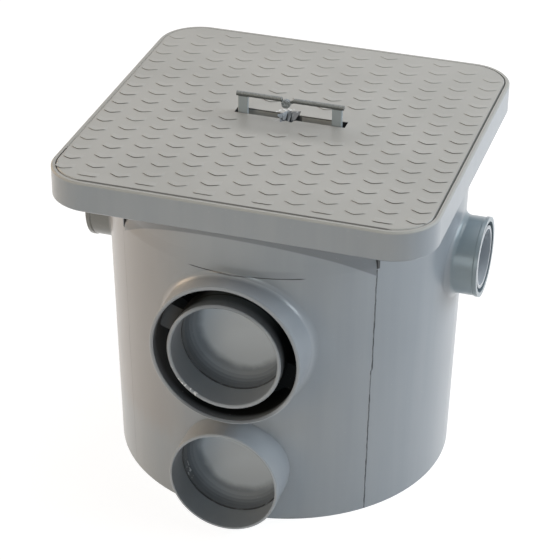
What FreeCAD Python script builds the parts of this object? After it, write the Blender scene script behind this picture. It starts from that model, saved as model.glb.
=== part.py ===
import FreeCAD, Part
import Sketcher
import math
import os

# Drainage inspection box: a round chamber with a square head, a drop-in lid and its lifting handle.
# Frame: origin on the chamber's axis at its foot, +Z up, the two front sockets towards -Y. Millimetres.

DIMENSIONS = [
    ("foot_radius", 123.7, "chamber: outer radius at the foot"),
    ("neck_radius", 129.5, "chamber: outer radius under the head"),
    ("wall", 3.2, "chamber: wall thickness"),
    ("floor_thick", 5.0, "chamber: floor thickness"),
    ("rim_base", 235.0, "head: height of its underside"),
    ("rim_top", 257.0, "head: height of its top edge"),
    ("rim_half", 135.5, "head: half of its side"),
    ("rim_corner", 32.0, "head: radius of its corners"),
    ("rim_wall", 3.0, "head: wall round the lid"),
    ("rim_edge", 1.0, "head: bevel of its outer edges"),
    ("ledge", 3.2, "head: thickness of the ledge under the lid"),
    ("membrane", 3.0, "sockets: thickness of the closing wall"),
    ("overcut", 2.0, "sockets: how far a cut starts outside the mouth"),
    ("lip_edge", 0.7, "sockets: bevel of the lips"),
    ("main_height", 146.5, "front inlet: height of its axis"),
    ("collar_face", 145.0, "front inlet: collar mouth from the chamber's axis"),
    ("collar_outer", 54.0, "front inlet: collar outer radius"),
    ("collar_bore", 51.2, "front inlet: collar bore radius, for 101.6 mm pipe"),
    ("collar_root", 1.8, "front inlet: bevel against the chamber"),
    ("ring_face", 146.2, "front inlet: inner ring mouth from the chamber's axis"),
    ("ring_outer", 40.8, "front inlet: inner ring outer radius"),
    ("ring_bore", 38.0, "front inlet: inner ring bore radius, for 75.5 mm pipe"),
    ("main_back", 111.0, "front inlet: closed end from the chamber's axis"),
    ("bridge_turn", -20.0, "front inlet: slope of the line through both bridges, degrees"),
    ("bridge_width", 20.0, "front inlet: width of a bridge between collar and ring"),
    ("bridge_recess", 14.0, "front inlet: bridges behind the collar's mouth"),
    ("outlet_height", 44.0, "front outlet: height of its axis"),
    ("outlet_face", 148.0, "front outlet: mouth from the chamber's axis"),
    ("outlet_outer", 39.9, "front outlet: outer radius"),
    ("outlet_bore", 38.0, "front outlet: bore radius, for 75.5 mm pipe"),
    ("outlet_back", 113.0, "front outlet: closed end from the chamber's axis"),
    ("bore_depth", 22.0, "front sockets: length of the pipe seat"),
    ("bore_step", 0.8, "front sockets: step at the end of the pipe seat"),
    ("bore_corner", 8.0, "front sockets: rounding at the closed end"),
    ("side_height", 172.0, "side inlets: height of their axis"),
    ("side_face", 146.4, "side inlets: mouth from the chamber's axis"),
    ("side_outer", 28.3, "side inlets: outer radius"),
    ("side_bead", 28.9, "side inlets: outer radius of the bead at the mouth"),
    ("bead_slope", 1.0, "side inlets: slope behind the bead"),
    ("bead_length", 2.5, "side inlets: length of the bead"),
    ("side_bore", 25.6, "side inlets: bore radius, for 50.7 mm pipe"),
    ("side_root", 2.0, "side inlets: bevel against the chamber"),
    ("small_face", 145.8, "side inlets: inner ring mouth from the chamber's axis"),
    ("small_outer", 22.7, "side inlets: inner ring outer radius"),
    ("small_bore", 20.2, "side inlets: inner ring bore radius, for 40 mm pipe"),
    ("side_back", 119.0, "side inlets: closed end from the chamber's axis"),
    ("panel_base", 202.6, "front panel: height of its lower edge"),
    ("panel_half", 45.0, "front panel: half of its angle, out to the mould's parting planes, degrees"),
    ("panel_cover", 46.5, "front panel: half of the angle that its lining covers, degrees"),
    ("panel_shift", 8.0, "front panel: centre of its curve towards the front"),
    ("panel_turn", 3.8, "front panel: middle of its curve from the front, degrees"),
    ("panel_proud", 0.4, "front panel: how far it stands out over the front inlet"),
    ("brow_half", 21.5, "front panel: half of the angle where it stands out, degrees"),
    ("lid_gap", 0.8, "lid: gap to the head all round"),
    ("lid_rise", 0.4, "lid: top face above the head's top edge"),
    ("lid_plate", 4.0, "lid: plate thickness"),
    ("lid_skirt", 3.0, "lid: skirt thickness"),
    ("lid_edge", 0.7, "lid: bevel of the top edge"),
    ("rib_thick", 2.4, "lid: rib thickness"),
    ("rib_depth", 8.0, "lid: rib depth under the plate"),
    ("rib_pitch", 52.0, "lid: distance between ribs"),
    ("slot_half", 40.8, "trough: half of its length"),
    ("slot_width", 9.2, "trough: width"),
    ("slot_centre", 4.0, "trough: centre line behind the lid's middle"),
    ("trough_depth", 10.6, "trough: depth under the lid's top"),
    ("trough_wall", 2.6, "trough: thickness of its walls and floor"),
    ("leg_hole", 10.4, "trough: length of each leg's hole from the end"),
    ("cup_shift", -1.2, "finger cup: centre from the lid's middle, along the trough"),
    ("cup_boss", 14.8, "finger cup: radius of the boss around it"),
    ("handle_plane", 1.5, "handle: middle plane behind the lid's middle"),
    ("handle_thick", 3.0, "handle: thickness"),
    ("handle_half", 39.5, "handle: half of its length"),
    ("handle_rise", 15.8, "handle: top above the lid's top when raised"),
    ("bar_height", 3.0, "handle: height of the bar"),
    ("bar_round", 1.3, "handle: rounding along the top of the bar"),
    ("leg_inset", 1.2, "handle: legs inside the ends of the bar"),
    ("leg_width", 7.2, "handle: width of a leg"),
    ("hook_reach", 4.2, "handle: reach of a hook outside its leg"),
    ("hook_height", 4.2, "handle: height of a hook"),
    ("hook_gap", 0.3, "handle: gap from hook to trough when raised"),
    ("notch_shift", -1.6, "handle: middle of the notch in the bar, along the bar"),
    ("notch_half", 4.8, "handle: half of the notch's length"),
    ("disc_shift", -2.9, "handle: disc centre, along the bar"),
    ("disc_radius", 3.2, "handle: radius of the disc in the notch"),
    ("disc_drop", 4.8, "handle: disc centre below the bar's top"),
    ("neck_half", 2.6, "handle: where the necks reach the disc, from its centre"),
    ("handle_edge", 0.6, "handle: bevel of the legs' outer edges"),
]

# The finger cup's skin is torn: each corner of the tear has an angle in degrees and a radius.
TEAR = {33: 7.2, 64: 12.2, 92: 8.8, 111: 10.6, 146: 7.6, 178: 9.2,
        225: 7.4, 250: 11.4, 262: 7.0, 296: 9.4, 312: 7.4, 342: 9.8}
for angle, radius in TEAR.items():
    DIMENSIONS.append(("tear_%d" % angle, radius, "finger cup: torn corner at %d degrees" % angle))

SAME = 0.01
CORNER_STEPS = 5
RIB_COUNT = 4

doc = FreeCAD.newDocument("inspection_box")
sheet = doc.addObject("Spreadsheet::Sheet", "dims")
for row, (alias, value, meaning) in enumerate(DIMENSIONS, 1):
    sheet.set("A%d" % row, meaning)
    sheet.set("B%d" % row, str(value))
    sheet.setAlias("B%d" % row, alias)
doc.recompute()


def size(alias):
    """Gives one driving dimension as a number."""
    return float(sheet.get(alias))


def start_body(label):
    """Starts a sub-part whose label names its file."""
    body = doc.addObject("PartDesign::Body", label)
    body.Label = label
    return body


def add_sketch(body, name, role, offset=("0", "0", "0")):
    """Adds a sketch on one of the body's origin planes, moved along the plane's own axes."""
    sketch = body.newObject("Sketcher::SketchObject", name)
    plane = next(item for item in body.Origin.OriginFeatures if item.Role == role)
    sketch.AttachmentSupport = [(plane, "")]
    sketch.MapMode = "FlatFace"
    for axis, expression in zip("xyz", offset):
        sketch.setExpression("AttachmentOffset.Base." + axis, expression)
    return sketch


def worth(sketch, expression):
    """Works out a sheet expression, so that a curve starts where its constraints will hold it."""
    return float(sketch.evalExpression(expression))


def bind(sketch, constraint, expression):
    """Adds a dimension to a sketch and binds it to a sheet expression."""
    number = sketch.addConstraint(constraint)
    sketch.setExpression("Constraints[%d]" % number, expression)


def pin(sketch, curve, end, x, y):
    """Holds one point of a sketch curve at x, y from the sketch's origin."""
    bind(sketch, Sketcher.Constraint("DistanceX", -1, 1, curve, end, worth(sketch, x)), x)
    bind(sketch, Sketcher.Constraint("DistanceY", -1, 1, curve, end, worth(sketch, y)), y)


def draw_outline(sketch, corners):
    """Draws a closed outline of straight sides, each corner a pair of sheet expressions."""
    first = sketch.GeometryCount
    places = [FreeCAD.Vector(worth(sketch, x), worth(sketch, y), 0) for x, y in corners]
    for place, following in zip(places, places[1:] + places[:1]):
        sketch.addGeometry(Part.LineSegment(place, following))
    for index, (x, y) in enumerate(corners):
        before = first + (index - 1) % len(corners)
        sketch.addConstraint(Sketcher.Constraint("Coincident", first + index, 1, before, 2))
        pin(sketch, first + index, 1, x, y)


def draw_rectangle(sketch, low_x, high_x, low_y, high_y):
    """Draws an upright rectangle between two corners."""
    draw_outline(sketch, [(low_x, low_y), (high_x, low_y), (high_x, high_y), (low_x, high_y)])


def draw_circle(sketch, x, y, radius):
    """Draws a circle."""
    centre = FreeCAD.Vector(worth(sketch, x), worth(sketch, y), 0)
    circle = Part.Circle(centre, FreeCAD.Vector(0, 0, 1), worth(sketch, radius))
    curve = sketch.addGeometry(circle)
    pin(sketch, curve, 3, x, y)
    bind(sketch, Sketcher.Constraint("Radius", curve, worth(sketch, radius)), radius)


def draw_rounded_square(sketch, half, radius):
    """Draws a square about the sketch's origin, its corners quarter circles tangent to its sides."""
    side = worth(sketch, half)
    bend = worth(sketch, radius)
    flat = side - bend
    up = FreeCAD.Vector(0, 0, 1)
    for quarter in range(4):
        spin = FreeCAD.Rotation(up, 90 * quarter)
        start = spin.multVec(FreeCAD.Vector(-flat, -side, 0))
        end = spin.multVec(FreeCAD.Vector(flat, -side, 0))
        centre = spin.multVec(FreeCAD.Vector(flat, -flat, 0))
        angle = math.radians(90 * quarter - 90)
        sketch.addGeometry(Part.LineSegment(start, end))
        sketch.addGeometry(Part.ArcOfCircle(Part.Circle(centre, up, bend), angle, angle + math.pi / 2))
    for line in range(0, 8, 2):
        sketch.addConstraint(Sketcher.Constraint("Tangent", line, 2, line + 1, 1))
        sketch.addConstraint(Sketcher.Constraint("Tangent", line + 1, 2, (line + 2) % 8, 1))
    for line, level, place, sign in ((0, "Horizontal", "DistanceY", "-"), (2, "Vertical", "DistanceX", ""),
                                     (4, "Horizontal", "DistanceY", ""), (6, "Vertical", "DistanceX", "-")):
        expression = sign + "(" + half + ")"
        sketch.addConstraint(Sketcher.Constraint(level, line))
        bind(sketch, Sketcher.Constraint(place, -1, 1, line, 1, worth(sketch, expression)), expression)
    for arc in (3, 5, 7):
        sketch.addConstraint(Sketcher.Constraint("Equal", 1, arc))
    bind(sketch, Sketcher.Constraint("Radius", 1, bend), radius)


def extrude(body, kind, sketch, length, backwards=False):
    """Pads or pockets a sketch; a pad goes along the sketch's normal and a pocket against it."""
    feature = body.newObject("PartDesign::" + kind, sketch.Name + "_" + kind.lower())
    feature.Profile = sketch
    feature.Reversed = backwards
    feature.setExpression("Length", length)
    return feature


def turn(body, kind, sketch, axis):
    """Turns a sketch all round one of its own axes, as a Revolution or a Groove."""
    feature = body.newObject("PartDesign::" + kind, sketch.Name + "_" + kind.lower())
    feature.Profile = sketch
    feature.ReferenceAxis = (sketch, [axis])
    feature.Angle = 360
    return feature


def soften(body, kind, name, amount, test):
    """Fillets or chamfers every edge of the body so far whose sampled points all pass the test."""
    doc.recompute()
    base = body.Tip
    chosen = [
        "Edge%d" % number
        for number, edge in enumerate(base.Shape.Edges, 1)
        if all(test(point) for point in edge.discretize(7))
    ]
    if not chosen:
        raise RuntimeError("no edge to soften for " + name)
    feature = body.newObject("PartDesign::" + kind, name)
    feature.Base = (base, chosen)
    feature.setExpression("Radius" if kind == "Fillet" else "Size", amount)
    return feature


def near(value, target):
    """Says whether two lengths are the same to a hundredth of a millimetre."""
    return abs(value - target) < SAME


def chamber_radius(height):
    """Gives the chamber's outer radius at a height: it widens evenly from foot to neck."""
    return size("foot_radius") + (size("neck_radius") - size("foot_radius")) * height / size("rim_base")


def on_chamber(point):
    """Says whether a point lies on the chamber's outer wall."""
    return near(math.hypot(point.x, point.y), chamber_radius(point.z))


def on_head(point):
    """Says whether a point lies on the head's outer side, straight or rounded."""
    half = size("rim_half")
    flat = half - size("rim_corner")
    beyond_x = max(abs(point.x) - flat, 0)
    beyond_y = max(abs(point.y) - flat, 0)
    if beyond_x and beyond_y:
        return near(math.hypot(beyond_x, beyond_y), size("rim_corner"))
    return near(max(abs(point.x), abs(point.y)), half)


def build_shell(body):
    """Turns the drafted chamber with its floor, then adds the square head with the lid's recess."""
    profile = add_sketch(body, "chamber_profile", "XZ_Plane")
    inner_foot = "dims.foot_radius - dims.wall"
    inner_neck = "dims.neck_radius - dims.wall"
    draw_outline(profile, [
        ("0", "0"),
        ("dims.foot_radius", "0"),
        ("dims.neck_radius", "dims.rim_base"),
        (inner_neck, "dims.rim_base"),
        (inner_foot, "dims.floor_thick"),
        ("0", "dims.floor_thick"),
    ])
    turn(body, "Revolution", profile, "V_Axis")

    head = add_sketch(body, "head_outline", "XY_Plane", ("0", "0", "dims.rim_base"))
    draw_rounded_square(head, "dims.rim_half", "dims.rim_corner")
    extrude(body, "Pad", head, "dims.rim_top - dims.rim_base")

    recess = add_sketch(body, "lid_recess", "XY_Plane", ("0", "0", "dims.rim_top"))
    draw_rounded_square(recess, "dims.rim_half - dims.rim_wall", "dims.rim_corner - dims.rim_wall")
    extrude(body, "Pocket", recess, "dims.rim_top - dims.rim_base - dims.ledge")

    mouth = add_sketch(body, "chamber_mouth", "XY_Plane", ("0", "0", "dims.rim_base + dims.ledge"))
    draw_circle(mouth, "0", "0", inner_neck)
    extrude(body, "Pocket", mouth, "dims.ledge")

    ends = (size("rim_base"), size("rim_top"))
    soften(body, "Chamfer", "head_edges", "dims.rim_edge",
           lambda point: on_head(point) and any(near(point.z, end) for end in ends))


def draw_ring_sector(sketch, half_angle, centred, shifted):
    """Draws the sector between an arc about the chamber's axis and the front panel's shifted arc.

    Both arcs end on lines through the axis at the given angle either side of the front.
    """
    half = math.radians(worth(sketch, half_angle))
    turned = math.radians(size("panel_turn"))
    shift = size("panel_shift")
    up = FreeCAD.Vector(0, 0, 1)
    far = FreeCAD.Vector(shift * math.sin(turned), -shift * math.cos(turned), 0)
    arcs = []
    for centre, radius in ((FreeCAD.Vector(0, 0, 0), worth(sketch, centred)), (far, worth(sketch, shifted))):
        ends = []
        for angle in (-half, half):
            ray = FreeCAD.Vector(math.sin(angle), -math.cos(angle), 0)
            along = ray.dot(centre)
            reach = along + math.sqrt(radius ** 2 - centre.Length ** 2 + along ** 2)
            arm = ray * reach - centre
            ends.append(math.atan2(arm.y, arm.x))
        arcs.append(Part.ArcOfCircle(Part.Circle(centre, up, radius), *ends))
    for arc in arcs:
        sketch.addGeometry(arc)
    for end, point in ((1, "StartPoint"), (2, "EndPoint")):
        line = sketch.addGeometry(Part.LineSegment(*(getattr(arc, point) for arc in arcs)))
        sketch.addConstraint(Sketcher.Constraint("Coincident", line, 1, 0, end))
        sketch.addConstraint(Sketcher.Constraint("Coincident", line, 2, 1, end))
        sketch.addConstraint(Sketcher.Constraint("PointOnObject", -1, 1, line))
    pin(sketch, 0, 3, "0", "0")
    pin(sketch, 1, 3, "dims.panel_shift * sin(dims.panel_turn * 1 deg)",
        "-dims.panel_shift * cos(dims.panel_turn * 1 deg)")
    bind(sketch, Sketcher.Constraint("Radius", 0, arcs[0].Radius), centred)
    bind(sketch, Sketcher.Constraint("Radius", 1, arcs[1].Radius), shifted)
    for sign, end, point in (("-", 1, arcs[0].StartPoint), ("", 2, arcs[0].EndPoint)):
        across = "%s(%s) * sin(%s * 1 deg)" % (sign, centred, half_angle)
        bind(sketch, Sketcher.Constraint("DistanceX", -1, 1, 0, end, point.x), across)


def build_front_panel(body):
    """Sets back the wall under the head between the two parting planes, on an arc of its own.

    The arc's centre lies towards the front, so the panel stands out as a thin brow over the front
    inlet and sinks in towards the parting planes, above a ledge and between two webs.
    """
    curve = ("(dims.foot_radius + (dims.neck_radius - dims.foot_radius) * dims.panel_base / dims.rim_base"
             " + dims.panel_proud - dims.panel_shift)")
    lining = add_sketch(body, "panel_lining", "XY_Plane", ("0", "0", "dims.panel_base - dims.wall"))
    draw_ring_sector(lining, "dims.panel_cover", "dims.neck_radius - dims.wall / 2", curve + " - dims.wall")
    extrude(body, "Pad", lining, "dims.rim_base + dims.ledge - dims.panel_base + dims.wall")

    brow = add_sketch(body, "panel_brow", "XY_Plane", ("0", "0", "dims.panel_base"))
    draw_ring_sector(brow, "dims.brow_half", "dims.neck_radius - dims.wall / 2", curve)
    extrude(body, "Pad", brow, "dims.rim_base - dims.panel_base + dims.ledge / 2")

    hollow = add_sketch(body, "panel_hollow", "XY_Plane", ("0", "0", "dims.rim_base"))
    draw_ring_sector(hollow, "dims.panel_half", "dims.neck_radius + dims.overcut", curve)
    extrude(body, "Pocket", hollow, "dims.rim_base - dims.panel_base")


def build_front_inlet(body):
    """Adds the stepped front inlet: collar, inner ring, closed end and the two bridges between them."""
    height = ("0", "dims.main_height", "0")
    plug = add_sketch(body, "inlet_plug", "YZ_Plane", height)
    draw_outline(plug, [
        ("-dims.ring_face", "0"),
        ("-dims.ring_face", "dims.ring_outer"),
        ("-dims.collar_face", "dims.ring_outer"),
        ("-dims.collar_face", "dims.collar_outer"),
        ("-dims.main_back + dims.membrane", "dims.collar_outer"),
        ("-dims.main_back + dims.membrane", "0"),
    ])
    turn(body, "Revolution", plug, "H_Axis")
    soften(body, "Chamfer", "collar_bevel", "dims.collar_root",
           lambda point: on_chamber(point) and on_front_socket(point, "main_height", "collar_outer"))

    gap = add_sketch(body, "inlet_gap", "YZ_Plane", height)
    draw_rectangle(gap, "-dims.collar_face - dims.overcut", "-dims.main_back",
                   "dims.ring_outer", "dims.collar_bore")
    turn(body, "Groove", gap, "H_Axis")
    cut_pipe_seat(body, "inlet", height, "dims.ring_face", "dims.ring_bore", "dims.main_back")

    bridge = add_sketch(body, "inlet_bridges", "XZ_Plane",
                        ("0", "dims.main_height", "dims.collar_face - dims.bridge_recess"))
    bridge.setExpression("AttachmentOffset.Rotation.Angle", "dims.bridge_turn * 1 deg")
    near_end = "(dims.ring_bore + dims.ring_outer) / 2"
    far_end = "(dims.collar_bore + dims.collar_outer) / 2"
    for sign in ("", "-"):
        draw_rectangle(bridge, sign + near_end, sign + far_end,
                       "-dims.bridge_width / 2", "dims.bridge_width / 2")
    extrude(body, "Pad", bridge, "dims.collar_face - dims.bridge_recess - dims.main_back + dims.membrane / 2",
            backwards=True)


def on_front_socket(point, height, radius):
    """Says whether a point lies on the outside of a front socket."""
    return near(math.hypot(point.x, point.z - size(height)), size(radius))


def cut_pipe_seat(body, name, height, face, bore, back):
    """Cuts a front socket's bore: the pipe seat, a small step and the closed end with a round corner."""
    sketch = add_sketch(body, name + "_seat", "YZ_Plane", height)
    narrow = bore + " - dims.bore_step"
    corner = []
    for step in range(CORNER_STEPS + 1):
        angle = "(%s deg)" % (90 * step / CORNER_STEPS)
        corner.append(("-%s - dims.bore_corner * (1 - sin%s)" % (back, angle),
                       "%s - dims.bore_corner * (1 - cos%s)" % (narrow, angle)))
    draw_outline(sketch, [
        ("-%s - dims.overcut" % face, "0"),
        ("-%s - dims.overcut" % face, bore),
        ("-%s + dims.bore_depth" % face, bore),
        ("-%s + dims.bore_depth" % face, narrow),
        *corner,
        ("-" + back, "0"),
    ])
    turn(body, "Groove", sketch, "H_Axis")


def build_front_outlet(body):
    """Adds the plain lower outlet with its closed end."""
    height = ("0", "dims.outlet_height", "0")
    plug = add_sketch(body, "outlet_plug", "YZ_Plane", height)
    back = "-dims.outlet_back + dims.membrane"
    draw_rectangle(plug, "-dims.outlet_face", back, "0", "dims.outlet_outer")
    turn(body, "Revolution", plug, "H_Axis")
    cut_pipe_seat(body, "outlet", height, "dims.outlet_face", "dims.outlet_bore", "dims.outlet_back")


def build_side_inlet(body, name, sign):
    """Adds a stepped side inlet: a beaded tube, an inner ring and their common closed end."""
    height = ("0", "dims.side_height", "0")
    plug = add_sketch(body, name + "_plug", "XZ_Plane", height)
    draw_outline(plug, [
        (sign + "dims.side_face", "0"),
        (sign + "dims.side_face", "dims.side_bead"),
        (sign + "(dims.side_face - dims.bead_length)", "dims.side_bead"),
        (sign + "(dims.side_face - dims.bead_length - dims.bead_slope)", "dims.side_outer"),
        (sign + "(dims.side_back - dims.membrane)", "dims.side_outer"),
        (sign + "(dims.side_back - dims.membrane)", "0"),
    ])
    turn(body, "Revolution", plug, "H_Axis")

    def at_root(point):
        around = math.hypot(point.y, point.z - size("side_height"))
        outward = point.x > 0 if sign == "" else point.x < 0
        return outward and on_chamber(point) and near(around, size("side_outer"))

    soften(body, "Chamfer", name + "_root", "dims.side_root", at_root)
    gap = add_sketch(body, name + "_gap", "XZ_Plane", height)
    mouth = sign + "(dims.side_face + dims.overcut)"
    draw_outline(gap, [
        (mouth, "0"),
        (mouth, "dims.side_bore"),
        (sign + "dims.side_back", "dims.side_bore"),
        (sign + "dims.side_back", "dims.small_outer"),
        (sign + "dims.small_face", "dims.small_outer"),
        (sign + "dims.small_face", "dims.small_bore"),
        (sign + "dims.side_back", "dims.small_bore"),
        (sign + "dims.side_back", "0"),
    ])
    turn(body, "Groove", gap, "H_Axis")


def build_chamber_body():
    """Builds the one-piece moulding: chamber, head and four sockets."""
    body = start_body("chamber_body")
    build_shell(body)
    build_front_panel(body)
    build_front_outlet(body)
    build_front_inlet(body)
    build_side_inlet(body, "right", "")
    build_side_inlet(body, "left", "-")

    def at_lip(point):
        in_front = point.y < -size("collar_face") + SAME
        main = math.hypot(point.x, point.z - size("main_height"))
        low = math.hypot(point.x, point.z - size("outlet_height"))
        on_collar = near(point.y, -size("collar_face")) and (
            near(main, size("collar_bore")) or near(main, size("collar_outer")))
        on_ring = near(point.y, -size("ring_face")) and (
            near(main, size("ring_bore")) or near(main, size("ring_outer")))
        on_outlet = near(point.y, -size("outlet_face")) and near(low, size("outlet_outer"))
        return in_front and (on_collar or on_ring or on_outlet)

    soften(body, "Chamfer", "lips", "dims.lip_edge", at_lip)
    return body


def build_lid():
    """Builds the lid with z = 0 at the foot of its skirt, then seats it on the head's ledge."""
    body = start_body("lid")
    top = "(dims.rim_top + dims.lid_rise - dims.rim_base - dims.ledge)"
    under = "(%s - dims.lid_plate)" % top
    half = "(dims.rim_half - dims.rim_wall - dims.lid_gap)"
    corner = "(dims.rim_corner - dims.rim_wall - dims.lid_gap)"
    plate = add_sketch(body, "lid_outline", "XY_Plane")
    draw_rounded_square(plate, half, corner)
    extrude(body, "Pad", plate, top)

    hollow = add_sketch(body, "lid_hollow", "XY_Plane")
    draw_rounded_square(hollow, half + " - dims.lid_skirt", corner + " - dims.lid_skirt")
    extrude(body, "Pocket", hollow, under, backwards=True)

    level = ("0", "0", under + " - dims.rib_depth")
    span = half + " - dims.lid_skirt / 2"
    across = add_sketch(body, "ribs_across", "XY_Plane", level)
    along = add_sketch(body, "ribs_along", "XY_Plane", level)
    for index in range(RIB_COUNT):
        middle = "%s * dims.rib_pitch" % (index - (RIB_COUNT - 1) / 2)
        low = middle + " - dims.rib_thick / 2"
        high = middle + " + dims.rib_thick / 2"
        draw_rectangle(across, "-(%s)" % span, span, low, high)
        draw_rectangle(along, low, high, "-(%s)" % span, span)
    for ribs in (across, along):
        extrude(body, "Pad", ribs, "dims.rib_depth + dims.lid_plate / 2")

    cut_trough(body, top, under)
    lift = size("rim_top") + size("lid_rise") - size("rim_base") - size("ledge")
    edge_half = size("rim_half") - size("rim_wall") - size("lid_gap")

    def at_edge(point):
        return near(point.z, lift) and max(abs(point.x), abs(point.y)) > edge_half - size("rim_corner")

    soften(body, "Chamfer", "lid_edges", "dims.lid_edge", at_edge)
    body.setExpression("Placement.Base.z", "dims.rim_base + dims.ledge")
    return body


def cut_trough(body, top, under):
    """Adds the block under the plate, then cuts the handle's trough, leg holes and finger cup."""
    floor = "(%s - dims.trough_depth - dims.trough_wall)" % top
    front = "(dims.slot_centre - dims.slot_width / 2)"
    back = "(dims.slot_centre + dims.slot_width / 2)"
    block = add_sketch(body, "trough_block", "XY_Plane", ("0", "0", floor))
    long_side = "dims.slot_half + dims.trough_wall"
    draw_rectangle(block, "-(%s)" % long_side, long_side,
                   front + " - dims.trough_wall", back + " + dims.trough_wall")
    extrude(body, "Pad", block, "%s - %s + dims.lid_plate / 2" % (under, floor))
    boss = add_sketch(body, "cup_boss", "XY_Plane", ("0", "0", floor))
    draw_circle(boss, "dims.cup_shift", "dims.slot_centre", "dims.cup_boss")
    extrude(body, "Pad", boss, "%s - %s + dims.lid_plate / 2" % (under, floor))

    trough = add_sketch(body, "trough", "XY_Plane", ("0", "0", top))
    draw_rectangle(trough, "-dims.slot_half", "dims.slot_half", front, back)
    extrude(body, "Pocket", trough, "dims.trough_depth")

    cup = add_sketch(body, "finger_cup", "XY_Plane", ("dims.cup_shift", "dims.slot_centre", top))
    draw_outline(cup, [
        ("dims.tear_%d * cos(%d deg)" % (angle, angle), "dims.tear_%d * sin(%d deg)" % (angle, angle))
        for angle in TEAR
    ])
    extrude(body, "Pocket", cup, "dims.trough_depth")

    holes = add_sketch(body, "leg_holes", "XY_Plane", ("0", "0", top))
    draw_rectangle(holes, "-dims.slot_half", "-dims.slot_half + dims.leg_hole", front, back)
    draw_rectangle(holes, "dims.slot_half - dims.leg_hole", "dims.slot_half", front, back)
    extrude(body, "Pocket", holes, "dims.trough_depth + dims.trough_wall + dims.overcut")


def build_handle():
    """Builds the raised handle with z = 0 at the lid's top: a notched bar on two hooked legs."""
    body = start_body("lift_handle")
    outline = add_sketch(body, "bail_outline", "XZ_Plane", ("0", "0", "-dims.handle_thick / 2"))
    top = "dims.handle_rise"
    under_bar = "(dims.handle_rise - dims.bar_height)"
    disc = "(dims.handle_rise - dims.disc_drop)"
    hook = "(-dims.trough_depth - dims.trough_wall - dims.hook_gap)"
    foot = "(%s - dims.hook_height)" % hook

    def half(side):
        neck = "dims.disc_shift + %d * dims.neck_half" % side
        notch = "dims.notch_shift + %d * dims.notch_half" % side
        end = "%d * dims.handle_half" % side
        outer = "%d * (dims.handle_half - dims.leg_inset)" % side
        inner = "%d * (dims.handle_half - dims.leg_inset - dims.leg_width)" % side
        reach = "%d * (dims.handle_half - dims.leg_inset + dims.hook_reach)" % side
        return [
            (neck, disc + " + dims.disc_radius / 2"),
            (notch, top),
            (end, top),
            (end, under_bar),
            (outer, under_bar),
            (outer, hook),
            (reach, hook),
            (reach, hook + " - dims.hook_height / 4"),
            (outer, foot),
            (inner, foot),
            (inner, under_bar),
            (notch, under_bar),
            (neck, disc),
        ]

    draw_outline(outline, half(1) + half(-1)[::-1])
    extrude(body, "Pad", outline, "dims.handle_thick")

    button = add_sketch(body, "bail_disc", "XZ_Plane", ("0", "0", "-dims.handle_thick / 2"))
    draw_circle(button, "dims.disc_shift", disc, "dims.disc_radius")
    extrude(body, "Pad", button, "dims.handle_thick")

    def on_side(point):
        return near(abs(point.y), size("handle_thick") / 2)

    def on_leg(point):
        return on_side(point) and near(abs(point.x), size("handle_half") - size("leg_inset"))

    soften(body, "Fillet", "bar_rounding", "dims.bar_round",
           lambda point: on_side(point) and near(point.z, size("handle_rise")))
    soften(body, "Chamfer", "leg_edges", "dims.handle_edge", on_leg)
    body.setExpression("Placement.Base.y", "dims.handle_plane")
    body.setExpression("Placement.Base.z", "dims.rim_top + dims.lid_rise")
    return body


def check_document(pieces):
    """Stops if any object failed, a cut removed nothing, an addition added nothing or a piece is unsound."""
    for item in doc.Objects:
        if "Invalid" in item.State or "Error" in item.State:
            raise RuntimeError("failed object: " + item.Name)
        base = getattr(item, "BaseFeature", None)
        if base is None or not item.isDerivedFrom("PartDesign::Feature"):
            continue
        change = item.Shape.Volume - base.Shape.Volume
        if item.TypeId in ("PartDesign::Pocket", "PartDesign::Groove") and change > -1:
            raise RuntimeError("cut removed nothing: " + item.Name)
        if item.TypeId in ("PartDesign::Pad", "PartDesign::Revolution") and change < 1:
            raise RuntimeError("addition added nothing: " + item.Name)
    for piece in pieces:
        shape = piece.Shape
        if shape.isNull() or not shape.isValid() or len(shape.Solids) != 1:
            raise RuntimeError("unsound piece: " + piece.Label)


pieces = [build_chamber_body(), build_lid(), build_handle()]
doc.recompute()
check_document(pieces)
os.makedirs("parts", exist_ok=True)
for piece in pieces:
    piece.Shape.exportStep("parts/%s.step" % piece.Label)
    box = piece.Shape.BoundBox
    print("%s: %.1f cm3, z %.1f to %.1f" % (piece.Label, piece.Shape.Volume / 1000, box.ZMin, box.ZMax))
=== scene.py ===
# %% [markdown]
# # A drainage inspection box
# The object is a grey moulded box that collects house drains: a round chamber with a square head, a lid
# with a slip-proof pattern, a small pull-up handle and four pipe sockets. The CAD frame already holds the
# three rigid pieces in metres, so this lesson only adds what CAD leaves out: the lid's pattern, the marks
# that the mould and use have left, the finishes, the light and the camera.

# %% Load the frame
import math

import bmesh
import bpy
import numpy as np
from mathutils import Matrix, Vector


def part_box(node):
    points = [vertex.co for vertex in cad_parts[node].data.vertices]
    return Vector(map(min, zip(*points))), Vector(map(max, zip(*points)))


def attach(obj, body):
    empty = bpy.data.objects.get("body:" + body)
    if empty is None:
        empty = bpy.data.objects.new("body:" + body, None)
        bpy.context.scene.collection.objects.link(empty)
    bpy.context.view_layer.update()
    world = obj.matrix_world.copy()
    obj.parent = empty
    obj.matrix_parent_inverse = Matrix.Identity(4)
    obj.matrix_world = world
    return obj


MM = 0.001
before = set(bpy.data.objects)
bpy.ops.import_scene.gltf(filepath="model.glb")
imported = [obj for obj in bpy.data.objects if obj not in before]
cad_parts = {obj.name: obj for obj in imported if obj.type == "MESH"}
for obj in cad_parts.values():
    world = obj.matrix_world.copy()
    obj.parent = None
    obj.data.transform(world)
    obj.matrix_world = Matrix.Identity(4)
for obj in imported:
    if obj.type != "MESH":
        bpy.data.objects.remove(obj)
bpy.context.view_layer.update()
lid_high = np.array(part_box("lid")[1])
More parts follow.
